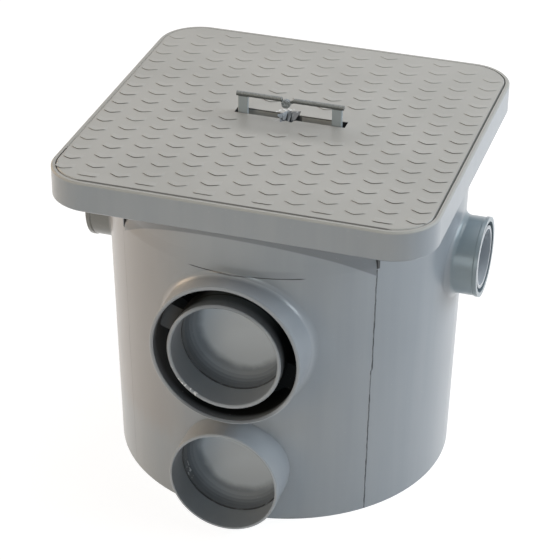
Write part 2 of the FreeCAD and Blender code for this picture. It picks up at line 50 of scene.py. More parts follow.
print("nodes:", sorted(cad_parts), "lid top at", round(lid_high[2] / MM, 2), "mm")

# %% [markdown]
# ## Shader maths
# A finish is a graph of nodes, and wiring dozens of them one by one hides what they work out. One small
# class wraps a socket instead, so a mask is written like any formula, and each operator adds a Math node.

# %% A socket that takes part in expressions
class Wire:
    """A shader socket: Python's operators add Math nodes, and node() adds any other node."""

    def __init__(self, tree, socket=None):
        self.tree = tree
        self.socket = socket

    def node(self, kind, settings=(), inputs=(), output=0):
        """Adds a node of a type, with its settings first, then the values or links of its sockets."""
        made = self.tree.nodes.new("ShaderNode" + kind)
        for name, value in dict(settings).items():
            setattr(made, name, value)
        for name, value in dict(inputs).items():
            if isinstance(value, Wire):
                self.tree.links.new(value.socket, made.inputs[name])
            else:
                made.inputs[name].default_value = value
        return Wire(self.tree, made.outputs[output] if made.outputs else None)

    def math(self, operation, *values):
        return self.node("Math", {"operation": operation}, enumerate(values))

    def __add__(self, other):
        return self.math("ADD", self, other)

    def __sub__(self, other):
        return self.math("SUBTRACT", self, other)

    def __rsub__(self, other):
        return self.math("SUBTRACT", other, self)

    def __mul__(self, other):
        return self.math("MULTIPLY", self, other)

    def __abs__(self):
        return self.math("ABSOLUTE", self)

    __radd__ = __add__
    __rmul__ = __mul__

    def highest(self, other):
        return self.math("MAXIMUM", self, other)

    def hypot(self, other):
        """Distance from the origin when this value and the other lie at right angles."""
        return self.math("SQRT", self * self + other * other)

    def ramp(self, start, end):
        """Rises smoothly from 0 at start to 1 at end; start may be the larger one, for a fall."""
        inputs = {"Value": self, "From Min": start, "From Max": end}
        return self.node("MapRange", {"interpolation_type": "SMOOTHSTEP"}, inputs)

    def band(self, middle, half, soft):
        """Is 1 within half of the middle and fades to 0 over soft."""
        return abs(self - middle).ramp(half + soft, half)

    def blend(self, first, second):
        """Mixes two colours, with this value as the share of the second."""
        inputs = {"Factor": self, "A": first, "B": second}
        return self.node("Mix", {"data_type": "RGBA"}, inputs, "Result")


print("socket class ready:", Wire.__doc__)

# %% [markdown]
# ## Light and stage
# The object stands in a white tent: a white floor and white surroundings. The world gives the object only
# a faint light, but camera rays and mirrored rays see pure white, so the background stays white without
# any more light falling on the plastic. The floor works the same way: the camera sees mostly a white glow,
# with enough of the lit floor mixed in to keep the soft shadow under the box.

# %% White surroundings
AMBIENT = 0.02
WHITE = (1.0, 1.0, 1.0, 1.0)
DIRECT_RAYS = ("Camera", "Glossy", "Transmission")

scene = bpy.context.scene
scene.view_settings.view_transform = "Standard"
world = bpy.data.worlds.new("white_tent")
world.use_nodes = True
world.node_tree.nodes.clear()
scene.world = world
sky = Wire(world.node_tree)


def seen_directly(wire):
    """Is 1 for rays from the camera and for mirrored or refracted rays, which should meet white."""
    rays = [wire.node("LightPath", output="Is %s Ray" % kind) for kind in DIRECT_RAYS]
    return rays[0].highest(rays[1]).highest(rays[2])


faint = sky.node("Background", inputs={"Color": WHITE, "Strength": AMBIENT})
backdrop = sky.node("Background", inputs={"Color": WHITE, "Strength": 1.0})
surround = sky.node("MixShader", inputs={0: seen_directly(sky), 1: faint, 2: backdrop})
sky.node("OutputWorld", inputs={"Surface": surround})
print("world light", AMBIENT)

# %% Floor that keeps the shadow
FLOOR_HALF = 6.0
FLOOR_BOUNCE = 0.80
FLOOR_GLOW = 0.90
FLOOR_SHADE = 0.26


def tinted(colour, share):
    """A colour made darker or paler by a share, alpha left at 1."""
    return tuple(share * value for value in colour[:3]) + (1.0,)


floor_mesh = bpy.data.meshes.new("floor")
corners = [(-FLOOR_HALF, -FLOOR_HALF, 0), (FLOOR_HALF, -FLOOR_HALF, 0),
           (FLOOR_HALF, FLOOR_HALF, 0), (-FLOOR_HALF, FLOOR_HALF, 0)]
floor_mesh.from_pydata(corners, [], [(0, 1, 2, 3)])
floor = bpy.data.objects.new("floor", floor_mesh)
scene.collection.objects.link(floor)
floor_paper = bpy.data.materials.new("floor_paper")
floor_paper.use_nodes = True
floor_paper.node_tree.nodes.clear()
paper = Wire(floor_paper.node_tree)
bounce = paper.node("BsdfDiffuse", inputs={"Color": tinted(WHITE, FLOOR_BOUNCE)})
shade = paper.node("BsdfDiffuse", inputs={"Color": tinted(WHITE, FLOOR_SHADE)})
glow = paper.node("Emission", inputs={"Color": WHITE, "Strength": FLOOR_GLOW})
shown = paper.node("AddShader", inputs={0: shade, 1: glow})
surface = paper.node("MixShader", inputs={0: seen_directly(paper), 1: bounce, 2: shown})
paper.node("OutputMaterial", inputs={"Surface": surface})
floor_mesh.materials.append(floor_paper)
print("floor", 2 * FLOOR_HALF, "m wide")

# %% [markdown]
# ### Lamps
# Soft light comes from broad panels: a white one above, cool ones at the right and the front, and warm ones
# at the left, so the round wall turns from warm to cool as it does in the photograph. Their powers were
# chosen by comparing greys. The small key lamp adds little light: it is there for the glints, because only
# a small lamp is mirrored as a narrow line.

# %% Lamps
AIM = Vector((0.0, 0.0, 0.13))
# Each lamp's place and width in metres, its power in watts and its tint.
LAMPS = {
    "top_panel": ((0.15, 0.35, 1.7), 1.3, 14.5, (1.0, 1.0, 1.0)),
    "right_window": ((1.35, 0.35, 0.75), 0.9, 13.8, (0.84, 0.93, 1.0)),
    "left_panel": ((-1.6, 0.3, 0.5), 1.0, 10.4, (1.0, 0.72, 0.45)),
    "front_panel": ((0.1, -2.0, 0.45), 0.8, 6.1, (0.76, 0.92, 1.0)),
    "front_left_panel": ((-0.8, -1.6, 0.5), 0.8, 5.4, (1.0, 0.76, 0.47)),
    "key_lamp": ((-0.6, -1.73, 1.69), 0.12, 3.0, (1.0, 1.0, 1.0)),
}

for name, (place, width, power, tint) in LAMPS.items():
    lamp = bpy.data.lights.new(name, "AREA")
    lamp.shape = "SQUARE"
    lamp.size = width
    lamp.energy = power
    lamp.color = tint
    holder = bpy.data.objects.new(name, lamp)
    holder.location = place
    holder.rotation_euler = (AIM - Vector(place)).to_track_quat("-Z", "Y").to_euler()
    scene.collection.objects.link(holder)
print("lamps:", ", ".join(LAMPS))

# %% [markdown]
# ## Camera
# The photograph was taken from the front right and above, with a long lens, so the lid looks almost free
# of perspective. The angles, distance and lens come from matching the head's and the chamber's outlines.

# %% Camera
AZIMUTH = math.radians(17.138)
ELEVATION = math.radians(30.546)
ROLL = math.radians(0.661)
DISTANCE = 1.5637
AIM_HEIGHT = 0.110
FRAME_SHIFT = (-0.0051, 0.0136)
SENSOR = 36.0
LENS = 135.7

camera_data = bpy.data.cameras.new("camera")
camera_data.sensor_width = SENSOR
camera_data.lens = LENS
camera = bpy.data.objects.new("camera", camera_data)
facing = (Matrix.Rotation(AZIMUTH, 4, "Z") @ Matrix.Rotation(math.pi / 2 - ELEVATION, 4, "X")
          @ Matrix.Rotation(ROLL, 4, "Z"))
back_off = Matrix.Translation((FRAME_SHIFT[0], FRAME_SHIFT[1], DISTANCE))
camera.matrix_world = Matrix.Translation((0, 0, AIM_HEIGHT)) @ facing @ back_off
scene.collection.objects.link(camera)
scene.camera = camera
print("camera at", [round(value, 3) for value in camera.matrix_world.translation])

# %% [markdown]
# ## Finishes
# All pieces are grey PVC, but each has its own finish. The chamber is a satin grey with faint upright flow
# marks from the mould. The lid is a warmer, finer-grained grey. The handle is darker. One flat colour each
# would look like paper, so every finish starts from the same recipe: a colour that wanders a little, a
# roughness that wanders with it, and two bumps, one for the orange-peel skin and one for fine grain. A thin
# glossy skin can lie over it, and where shade is painted into the colour, a matte surface without shine can
# take its place. Only the amounts change.

# %% Noise and bumps
SKIN_SIZE = 900.0
SKIN_DEPTH = 0.1 * MM
GRAIN_SIZE = 4200.0
GRAIN_DEPTH = 0.05 * MM


def start_finish(name):
    """Starts a material; gives it with a wire for its tree and its Object coordinates in metres."""
    material = bpy.data.materials.new(name)
    material.use_nodes = True
    material.node_tree.nodes.clear()
    wire = Wire(material.node_tree)
    return material, wire, wire.node("TexCoord", output="Object")


def noise(wire, place, size, detail=3.0, stretch=(1.0, 1.0, 1.0)):
    """Gives noise about 0.5, size being its waves per metre, drawn out where stretch is small."""
    spot = wire.node("Mapping", inputs={"Vector": place, "Scale": stretch}, output="Vector")
    return wire.node("TexNoise", inputs={"Vector": spot, "Scale": size, "Detail": detail}, output="Fac")


def skin_bump(wire, place, skin, grain):
    """Gives a normal with a soft orange-peel skin and a fine grain, their strengths being shares of 1."""
    peel = noise(wire, place, SKIN_SIZE, 2.0)
    fine = noise(wire, place, GRAIN_SIZE, 2.0)
    inputs = {"Strength": skin, "Distance": SKIN_DEPTH, "Height": peel}
    lumps = wire.node("Bump", inputs=inputs, output="Normal")
    inputs = {"Strength": grain, "Distance": GRAIN_DEPTH, "Height": fine, "Normal": lumps}
    return wire.node("Bump", inputs=inputs, output="Normal")


print("skin every", round(1 / SKIN_SIZE / MM, 2), "mm, grain every", round(1 / GRAIN_SIZE / MM, 2), "mm")

# %% Moulded plastic
SHINE = 0.5
COAT_ROUGHNESS = 0.10


def moulded(wire, colour, roughness, normal, skin_gloss=0.0, matte_shade=None):
    """Ends a finish: plastic with a thin glossy skin, and a matte surface where the last value paints
    shade.
    """
    inputs = {"Base Color": colour, "Roughness": roughness, "Normal": normal, "Specular IOR Level": SHINE,
              "Coat Weight": skin_gloss, "Coat Roughness": COAT_ROUGHNESS}
    surface = wire.node("BsdfPrincipled", inputs=inputs)
    if matte_shade is not None:
        inputs = {"Base Color": colour, "Roughness": 1.0, "Specular IOR Level": 0.0}
        dry = wire.node("BsdfPrincipled", inputs=inputs)
        surface = wire.node("MixShader", inputs={0: matte_shade, 1: surface, 2: dry})
    wire.node("OutputMaterial", inputs={"Surface": surface})


print("glossy skin's roughness", COAT_ROUGHNESS)

# %% Places and colours
BODY_GREY = (0.306, 0.332, 0.362, 1.0)
BODY_PALE = (0.348, 0.368, 0.392, 1.0)
LID_GREY = (0.412, 0.408, 0.388, 1.0)
LID_PALE = (0.448, 0.443, 0.422, 1.0)
# Near black, for painted shade.
BLACK_SHADE = (0.012, 0.013, 0.014, 1.0)


def millimetres(wire, place):
    """Gives the Object coordinates as three values in millimetres, for masks at known places."""
    axes = [wire.node("SeparateXYZ", inputs={"Vector": place}, output=axis) for axis in "XYZ"]
    return [axis * (1 / MM) for axis in axes]


def own_chart(wire):
    """Gives how far a point of a new piece lies across its patch and through its rows, from 0 to 1."""
    chart = wire.node("UVMap", {"uv_map": "patch"}, output="UV")
    return [wire.node("SeparateXYZ", inputs={"Vector": chart}, output=axis) for axis in "XY"]


print("chamber grey", BODY_GREY[:3], "lid grey", LID_GREY[:3])

# %% [markdown]
# ### Chamber
# One moulding, but not one colour. Its top lip takes the lid's warmer, paler grey. The thin walls that
# close the two front sockets have painted light and shade: paler round a spot in the middle, darker
# towards the bore, with a line of painted shade round them at the end of the pipe's seat. The ring-shaped
# gap of the front inlet and the bridges across it are painted near black as shade, the gap lighter towards
# its top. An image could be painted for this, but distances in millimetres put each mark exactly where the
# CAD has the socket. So each is a mask: a value from 0 to 1, made from a distance to a socket's axis and a
# depth behind its face, that blends one more colour in. The mask called dull takes the glossy skin off such
# places.

# %% Chamber colours
# The height of each front socket's axis, and how far its face stands out, in millimetres.
FRONT_SOCKETS = {"inlet": (146.5, 146.2), "outlet": (44.0, 148.0)}
TOP_LIP = (255.0, 256.2)
SEAT_DEPTH = 22.0
SEAT_RADIUS = 37.6
END_HALF = 7.0
END_SOFT = 0.2
LIT_SPOT = (2.5, 3.0)
LIT_EDGE = (39.0, 31.0)
MOTTLE_REACH = 9.0
BORE_RADIUS = 38.2
BORE_MIDDLE, BORE_HALF = 20.0, 19.0
CLOUD_SIZE, FLOW_SIZE, MOTTLE_SIZE = 9.0, 70.0, 55.0
FLOW_STRETCH = (1.0, 1.0, 0.05)
WALL_SHADED = tinted(BODY_GREY, 0.60)
WALL_LIT = tinted(BODY_PALE, 1.42)
SEAT_SHADE = tinted(BODY_GREY, 0.12)

body_finish, wire, place = start_finish("chamber_pvc")
x, y, z = millimetres(wire, place)
cloud = noise(wire, place, CLOUD_SIZE, 2.0)
flow = noise(wire, place, FLOW_SIZE, 3.0, FLOW_STRETCH)
mottle = noise(wire, place, MOTTLE_SIZE, 4.0)
grey = (cloud * 0.5 + flow * 0.5).ramp(0.32, 0.68).blend(BODY_GREY, BODY_PALE)
dull = z.ramp(*TOP_LIP)
grey = dull.blend(grey, LID_GREY)
for height, face in FRONT_SOCKETS.values():
    off_axis = x.hypot(z - height)
    depth = y + face
    end_zone = depth.band(SEAT_DEPTH + END_HALF + END_SOFT, END_HALF, END_SOFT)
    # Painted light and shade on each closing wall: paler round a spot just off its axis, darker towards the
    # bore.
    off_light = (x - LIT_SPOT[0]).hypot(z - height - LIT_SPOT[1]) + mottle * MOTTLE_REACH
    end_wall_light = off_light.ramp(*LIT_EDGE).blend(WALL_SHADED, WALL_LIT)
    grey = (end_zone * off_axis.ramp(SEAT_RADIUS, SEAT_RADIUS - 0.3)).blend(grey, end_wall_light)
    in_bore = off_axis.ramp(BORE_RADIUS + 0.4, BORE_RADIUS) * depth.band(BORE_MIDDLE, BORE_HALF, 0.8)
    dull = dull.highest(in_bore)
    # A line of painted shade where the pipe's seat steps down.
    seat_line = depth.band(SEAT_DEPTH, 0.3, 0.3) * off_axis.band(SEAT_RADIUS, 0.6, 0.3)
    grey = (seat_line * mottle.ramp(0.25, 0.5)).blend(grey, SEAT_SHADE)
print("chamber colours:", len(body_finish.node_tree.nodes), "nodes so far")

# %% Painted shade in the inlet's gap
COLLAR_FACE = 145.0
GAP_RADIUS = 46.0
GAP_REACH = 5.5
GAP_MOUTH = (0.4, 9.0)
GAP_END = 36.0
GAP_SHADE = (0.016, 0.018, 0.019, 1.0)
GAP_LIT = tinted(GAP_SHADE, 8.0)
LIT_ABOVE = (15.0, 42.0)
LIT_RIGHT = (-26.0, -12.0)
BRIDGE_DEPTH = 14.0
BRIDGE_SHADE = tinted(BODY_GREY, 0.025)

above = z - FRONT_SOCKETS["inlet"][0]
off_axis = x.hypot(above)
depth = y + COLLAR_FACE
# Painted shade: the deep gap and the bridges across it are coloured near black, the gap lighter towards its
# top as painted light.
in_gap = off_axis.band(GAP_RADIUS, GAP_REACH, 0.3)
gap = in_gap * depth.ramp(*GAP_MOUTH) * depth.ramp(GAP_END + 1.0, GAP_END)
gap_shade = (above.ramp(*LIT_ABOVE) * x.ramp(*LIT_RIGHT)).blend(GAP_SHADE, GAP_LIT)
bridge = depth.band(BRIDGE_DEPTH, 0.2, 0.1)
dull = dull.highest(gap)
grey = gap.blend(grey, bridge.blend(gap_shade, BRIDGE_SHADE))
print("gap from", GAP_RADIUS - GAP_REACH, "to", GAP_RADIUS + GAP_REACH, "mm off the inlet's axis")

# %% [markdown]
# ### Light, shade and marks on the chamber
# Much of what marks the outside is painted light and shade. The front inlet's lips are darker in places,
# and the collar's outside is painted paler on top, where light falls. Painted white glints sit on the
# ring's lip at the lower left and inside the outlet, and a mould gate left a pale dot below the ring. The
# left of the wall is painted warmer and paler, as the warm light from the left falls on it. Under the front
# panel's brow runs a line of painted shadow, with painted shade above it, and the top of each parting line
# has a black notch of painted shade. Under the head a painted shadow has a curved lower edge. The side
# tubes are painted darker as shade. All of this is masks again, some of them on the angle round the
# chamber, which is 0 at the front and grows to the right.

# %% Lips and flecks
RING_FACE = FRONT_SOCKETS["inlet"][1]
RING_LIP, RING_HALF = 39.4, 1.7
COLLAR_LIP, COLLAR_HALF = 51.9, 0.9
COLLAR_OUTSIDE = 54.3
DARKER_BELOW = (-28.0, -48.0)
DARKER_ABOVE = (26.0, 38.0)
DARKER_SHARE = 0.6
COLLAR_LIT_ABOVE = (25.0, 50.0)
GLINTS_FROM = (35.0, 37.5)
GLINT_SPOT_SIZE = 330.0
LIP_DARK = tinted(BODY_GREY, 0.45)
COLLAR_TOP_LIT = tinted(BODY_PALE, 1.25)
OUTLET_GLINT_HEIGHT = 31.5
OUTLET_GLINT_PLACE = -122.5
GATE_MARK = (-15.7, 111.9)
GATE_DEPTH = 32.0
GLINT_AND_GATE_WHITE = (0.80, 0.82, 0.83, 1.0)

ring_lip = off_axis.band(RING_LIP, RING_HALF, 0.2) * (y + RING_FACE).ramp(1.6, 1.2)
collar_lip = off_axis.band(COLLAR_LIP, COLLAR_HALF, 0.4) * depth.ramp(1.4, 0.8)
# The collar's lip is darker below the inlet's axis, the ring's lip above it.
darker_ring_top = ring_lip * above.ramp(*DARKER_ABOVE) * DARKER_SHARE
darker_lips = (collar_lip * above.ramp(*DARKER_BELOW)).highest(darker_ring_top)
grey = darker_lips.blend(grey, LIP_DARK)
# Painted light: the collar's outside is paler on top, where light falls.
collar_side = off_axis.band(COLLAR_OUTSIDE, 0.8, 0.3) * depth.band(11.0, 9.5, 1.0)
grey = (collar_side * above.ramp(*COLLAR_LIT_ABOVE)).blend(grey, COLLAR_TOP_LIT)
# Painted glints: white spots on the ring's lip at the lower left and on the outlet's left inner wall. The
# gate mark is a real pale dot.
spots = noise(wire, place, GLINT_SPOT_SIZE, 3.0)
low_left = (x + above) * -math.sqrt(0.5)
ring_lip_glints = ring_lip * low_left.ramp(*GLINTS_FROM)
outlet_glints = z.band(OUTLET_GLINT_HEIGHT, 7.0, 1.0) * x.ramp(-30.5, -32.0) * y.band(OUTLET_GLINT_PLACE, 2.5, 0.5)
gate_dot = (x - GATE_MARK[0]).hypot(z - GATE_MARK[1]).ramp(1.4, 0.8) * depth.band(GATE_DEPTH, 2.5, 0.5)
grey = (ring_lip_glints.highest(outlet_glints) * spots.ramp(0.56, 0.62)).highest(gate_dot).blend(grey, GLINT_AND_GATE_WHITE)
print("flecks on the ring's lip, in the outlet and at", GATE_MARK, "mm")

# %% Painted warm light, and painted shade at the brow
OUTSIDE_RADIUS = (124.6, 125.2)
WARM_TURN, WARM_HALF, WARM_FADE = -62.0, 30.0, 24.0
WARM_TOP = 233.0
WARM_SHARE = 0.9
WARM_LIGHT_GREY = (0.330, 0.319, 0.318, 1.0)
BROW_HEIGHT = 202.6
BROW_TURN, BROW_HALF = 4.0, 16.5
BROW_SHARE = 0.93
UPPER_SHADE_TURN, UPPER_SHADE_HALF, UPPER_SHADE_FADE = 8.0, 7.0, 8.0
UPPER_SHADE_SHARE = 0.3
UPPER_SHADE_GREY = tinted(BODY_GREY, 0.5)
PARTING_ANGLE = 45.0

turned = wire.math("ARCTAN2", x, 0.0 - y) * math.degrees(1.0)
outside = x.hypot(y).ramp(*OUTSIDE_RADIUS)
# Painted light: the left of the wall is warmer and paler, as warm light from the left falls on it.
warm_light = turned.band(WARM_TURN, WARM_HALF, WARM_FADE) * z.ramp(WARM_TOP + 1.5, WARM_TOP) * outside
grey = (warm_light * WARM_SHARE).blend(grey, WARM_LIGHT_GREY)
# Painted shadow: a black line under the brow, and a black notch at the top of each parting line.
brow = z.band(BROW_HEIGHT - 0.45, 0.4, 0.12) * turned.band(BROW_TURN, BROW_HALF, 2.5)
# Painted shade just above the brow.
upper_shade = z.band(BROW_HEIGHT + 2.2, 1.6, 2.5) * turned.band(UPPER_SHADE_TURN, UPPER_SHADE_HALF, UPPER_SHADE_FADE)
notch = abs(turned).band(PARTING_ANGLE + 0.3, 0.45, 0.25) * z.band(BROW_HEIGHT + 3.2, 3.2, 0.6)
grey = (brow.highest(notch) * outside * BROW_SHARE).blend(grey, BLACK_SHADE)
grey = (upper_shade * outside * UPPER_SHADE_SHARE).blend(grey, UPPER_SHADE_GREY)
print("brow line at", BROW_HEIGHT, "mm,", 2 * BROW_HALF, "degrees long")

# %% Painted shadow under the head, and side tubes
HEAD_SHADOW_HEIGHT = 229.0
HEAD_SHADOW_CURVE = 0.0153
HEAD_SHADOW_TURN = -1.0
HEAD_UNDERSIDE = 235.8
PANEL_END = 44.7
HEAD_SHADOW = tinted(BODY_GREY, 0.48)
HEAD_SHADOW_SHARE = 0.75
SIDE_HEIGHT = 172.0
TUBE_START = (126.5, 129.0)
TUBE_OUTSIDE = 29.5
TUBE_WALL = (24.5, 25.0)
INNER_BORE = 20.5
TUBE_LEFT_SHADE = (0.185, 0.187, 0.175, 1.0)
TUBE_RIGHT_SHADE = (0.240, 0.292, 0.322, 1.0)
INNER_PALE = tinted(BODY_PALE, 1.55)

# Painted shadow of the head on the panel: its lower edge curves down away from the front.
aside = turned - HEAD_SHADOW_TURN
edge_height = z + aside * aside * HEAD_SHADOW_CURVE
under_head = edge_height.ramp(HEAD_SHADOW_HEIGHT - 0.5, HEAD_SHADOW_HEIGHT + 0.7)
under_head = under_head * z.ramp(HEAD_UNDERSIDE + 0.4, HEAD_UNDERSIDE)
under_head = under_head * abs(turned).ramp(PANEL_END + 0.2, PANEL_END) * outside
grey = (under_head * HEAD_SHADOW_SHARE).blend(grey, HEAD_SHADOW)
# Painted shade: the side tubes are darker, and bluish on the right.
off_tube = y.hypot(z - SIDE_HEIGHT)
tube = abs(x).ramp(*TUBE_START) * off_tube.ramp(TUBE_OUTSIDE + 1.5, TUBE_OUTSIDE)
tube_shade = x.ramp(-1.0, 1.0).blend(TUBE_LEFT_SHADE, TUBE_RIGHT_SHADE)
grey = (tube * off_tube.ramp(*TUBE_WALL)).blend(grey, tube_shade)
grey = (tube * off_tube.ramp(INNER_BORE + 0.5, INNER_BORE)).blend(grey, INNER_PALE)
print("grime above", HEAD_SHADOW_HEIGHT, "mm, side tubes at", SIDE_HEIGHT, "mm")

# %% Chamber finish
DUST_SPECK = (0.50, 0.50, 0.49, 1.0)
DUST_SIZE = 520.0
DUST_SHARE = 0.25
BODY_ROUGHNESS = 0.28
DULLING = 0.28
BODY_GLOSS = 0.25
BODY_SKIN, BODY_GRAIN = 0.10, 0.06
MATTE_SHADE_SHARE = 0.92

dust = noise(wire, place, DUST_SIZE, 2.0).ramp(0.70, 0.78) * DUST_SHARE
grey = dust.blend(grey, DUST_SPECK)
roughness = BODY_ROUGHNESS + cloud * 0.06 + dust * 0.3 + dull * DULLING
bumps = skin_bump(wire, place, BODY_SKIN, BODY_GRAIN)
# The painted shade in the gap gets a matte surface without shine.
moulded(wire, grey, roughness, bumps, (1.0 - dull) * BODY_GLOSS, gap * MATTE_SHADE_SHARE)
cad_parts["chamber_body"].data.materials[0] = body_finish
print("chamber finish:", len(body_finish.node_tree.nodes), "nodes")

# %% [markdown]
# ### Lid
# The lid is warmer and finer grained. In front of the handle it was left smooth, so it is darker there and
# mirrors the handle's legs a little. The handle's trough has painted shade along its upper edge, painted
# light lower down and black painted shade at its ends. The torn finger cup shows grey facets, with painted
# light on the left and painted shade on the right, and whitened edges, as tough plastic gets where it is
# torn. Two of the lid's edges carry painted shade. These marks could be painted by hand, but the depth
# below the lid's top finds the trough and the cup again, so masks do it. The scales of the slip-proof
# pattern take the same grey, with painted shade along their front edges that thins out towards the lid's
# back.

# %% Lid colours
LID_TOP = lid_high[2] / MM
LID_EDGE = lid_high[0] / MM
SMOOTH_CENTRE = (0.0, -15.0)
SMOOTH_HALF = (52.0, 15.0)
SMOOTH_FADE = (1.55, 0.35)
LID_CLOUD_SIZE, SPECK_SIZE = 14.0, 700.0
LID_SPECK = (0.30, 0.295, 0.28, 1.0)


def smooth_zone(x, y):
    """Mask of the oval in front of the handle that was left smooth."""
    across = (x - SMOOTH_CENTRE[0]) * (1.0 / SMOOTH_HALF[0])
    along = (y - SMOOTH_CENTRE[1]) * (1.0 / SMOOTH_HALF[1])
    return across.hypot(along).ramp(*SMOOTH_FADE)


lid_finish, wire, place = start_finish("lid_pvc")
x, y, z = millimetres(wire, place)
cloud = noise(wire, place, LID_CLOUD_SIZE, 3.0)
speck = noise(wire, place, SPECK_SIZE, 2.0)
grey = cloud.ramp(0.35, 0.65).blend(LID_GREY, LID_PALE)
grey = (speck.ramp(0.68, 0.78) * 0.3).blend(grey, LID_SPECK)
print("lid colours:", len(lid_finish.node_tree.nodes), "nodes so far")

# %% Trough and torn cup
HANDLE_ZONE = (43.0, 17.0)
SUNK = (0.25, 0.6)
SLOT_END = 36.5
SLOT_HALF = 4.65
CUP_CENTRE = (-1.2, 4.0)
CUP_RADIUS = 13.0
CUP_MOUTH = 7.5
TROUGH_EDGE = (0.7, 1.5)
TORN_RADIUS, TORN_HALF = 9.5, 3.0
TORN_CHIP_SIZE = 420.0
TROUGH_SHADE = tinted(LID_GREY, 0.15)
TROUGH_LIT = tinted(LID_GREY, 1.25)
FACET_SHADED = (0.130, 0.135, 0.138, 1.0)
FACET_LIT = (0.36, 0.40, 0.44, 1.0)
TORN_EDGE = (0.74, 0.76, 0.77, 1.0)

spots = noise(wire, place, TORN_CHIP_SIZE, 3.0)
depth = LID_TOP - z
sunk = depth.ramp(*SUNK)
from_slot = abs(y - CUP_CENTRE[1])
handle_zone = (abs(x).ramp(HANDLE_ZONE[0] + 1.0, HANDLE_ZONE[0])
               * from_slot.ramp(HANDLE_ZONE[1] + 1.0, HANDLE_ZONE[1]))
below = sunk * handle_zone
cup_reach = (x - CUP_CENTRE[0]).hypot(y - CUP_CENTRE[1])
beside_slot = from_slot.ramp(SLOT_HALF, SLOT_HALF + 0.2)
in_mouth = abs(x - CUP_CENTRE[0]).ramp(CUP_MOUTH + 1.0, CUP_MOUTH)
cup = cup_reach.ramp(CUP_RADIUS + 1.5, CUP_RADIUS) * beside_slot.highest(in_mouth)
# Painted shade along the trough's upper edge, painted light lower down.
trough = depth.ramp(*TROUGH_EDGE).blend(TROUGH_SHADE, TROUGH_LIT)
grey = (below * (1.0 - cup)).blend(grey, trough)
# The cup's facets: painted light at the left, painted shade at the right.
facet_light = (spots * 8.0 - x).ramp(-1.0, 9.0)
grey = (below * cup).blend(grey, facet_light.blend(FACET_SHADED, FACET_LIT))
# The trough's ends are painted black as shade.
grey = (below * abs(x).ramp(SLOT_END - 0.6, SLOT_END)).blend(grey, BLACK_SHADE)
torn = (1.0 - sunk) * cup_reach.band(TORN_RADIUS, TORN_HALF, 1.2)
torn = torn * x.ramp(0.0, -3.0) * spots.ramp(0.50, 0.56)
grey = torn.blend(grey, TORN_EDGE)
print("torn cup at", CUP_CENTRE, "mm")

# %% Lid finish
LID_ROUGHNESS = 0.46
SMOOTHING = 0.17
LID_SKIN, LID_GRAIN = 0.12, 0.12
EDGE_SHARE = 0.8
SMOOTH_GREY = tinted(LID_GREY, 0.78)
EDGE_SHADE = tinted(LID_GREY, 0.25)

# Painted shade on the lid's front and right edges, the shade of the gap beside them.
edge = (0.0 - y).highest(x).ramp(LID_EDGE - 0.75, LID_EDGE - 0.6)
grey = (edge * EDGE_SHARE).blend(grey, EDGE_SHADE)
smooth = smooth_zone(x, y)
grey = (smooth * (1.0 - below)).blend(grey, SMOOTH_GREY)
roughness = LID_ROUGHNESS + cloud * 0.10 - smooth * SMOOTHING
moulded(wire, grey, roughness, skin_bump(wire, place, LID_SKIN, LID_GRAIN))
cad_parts["lid"].data.materials[0] = lid_finish
print("lid finish:", len(lid_finish.node_tree.nodes), "nodes")

# %% Scale finish
SCALE_ROUGHNESS = 0.50
SCALE_SMOOTH = tinted(LID_GREY, 0.80)
SCALE_EDGE_SHADE = (0.185, 0.181, 0.168, 1.0)
SHADED_ROWS = (0.53, 0.44)
PATCH_SIZE = 28.0
EDGE_SHADE_FROM, EDGE_SHADE_TO = 130.0, -70.0

scale_finish, wire, place = start_finish("lid_scale_pvc")
cloud = noise(wire, place, LID_CLOUD_SIZE, 3.0)
patch = noise(wire, place, PATCH_SIZE, 3.0)
across, behind = own_chart(wire)
x, y, z = millimetres(wire, place)
grey = cloud.ramp(0.35, 0.65).blend(LID_GREY, LID_PALE)
grey = smooth_zone(x, y).blend(grey, SCALE_SMOOTH)
middle = abs(across - 0.5).ramp(0.5, 0.36)
from_back = y.ramp(EDGE_SHADE_FROM, EDGE_SHADE_TO)
# A quarter everywhere, a quarter more towards the front, up to half more in patches.
amount = 0.25 + 0.25 * from_back + 0.50 * patch.ramp(0.38, 0.60) * from_back
# Painted shade along each scale's front edge, fading towards the back of the lid.
edge_shade = behind.ramp(*SHADED_ROWS) * middle * amount
roughness = SCALE_ROUGHNESS + edge_shade * 0.2
moulded(wire, edge_shade.blend(grey, SCALE_EDGE_SHADE), roughness, skin_bump(wire, place, LID_SKIN, LID_GRAIN))
print("scale finish:", len(scale_finish.node_tree.nodes), "nodes")

# %% [markdown]
# ### Handle
# The handle is bluish on its legs and greener on its bar, which is speckled with wear above a dark lower
# edge. The disc in the middle is dull and dark. Three materials could share the piece, but the bar and the
# disc are found by their places, so one material does for the whole piece.

# %% Handle finish
LEG_GREY = (0.355, 0.397, 0.420, 1.0)
BAR_GREY = (0.185, 0.197, 0.193, 1.0)
LEG_PALE = tinted(LEG_GREY, 1.15)
BAR_WORN = tinted(BAR_GREY, 1.35)
BAR_SHADE = tinted(BAR_GREY, 0.30)
BAR_BASE = 270.2
DISC_CENTRE = (-2.9, 268.4)
DISC_RADIUS = 3.3
DISC_DARK, DISC_PALE = tinted(LEG_GREY, 0.50), tinted(LEG_GREY, 0.92)
BLOTCH_SIZE, WEAR_SIZE = 60.0, 700.0
HANDLE_ROUGHNESS = 0.30
HANDLE_SKIN, HANDLE_GRAIN = 0.10, 0.08

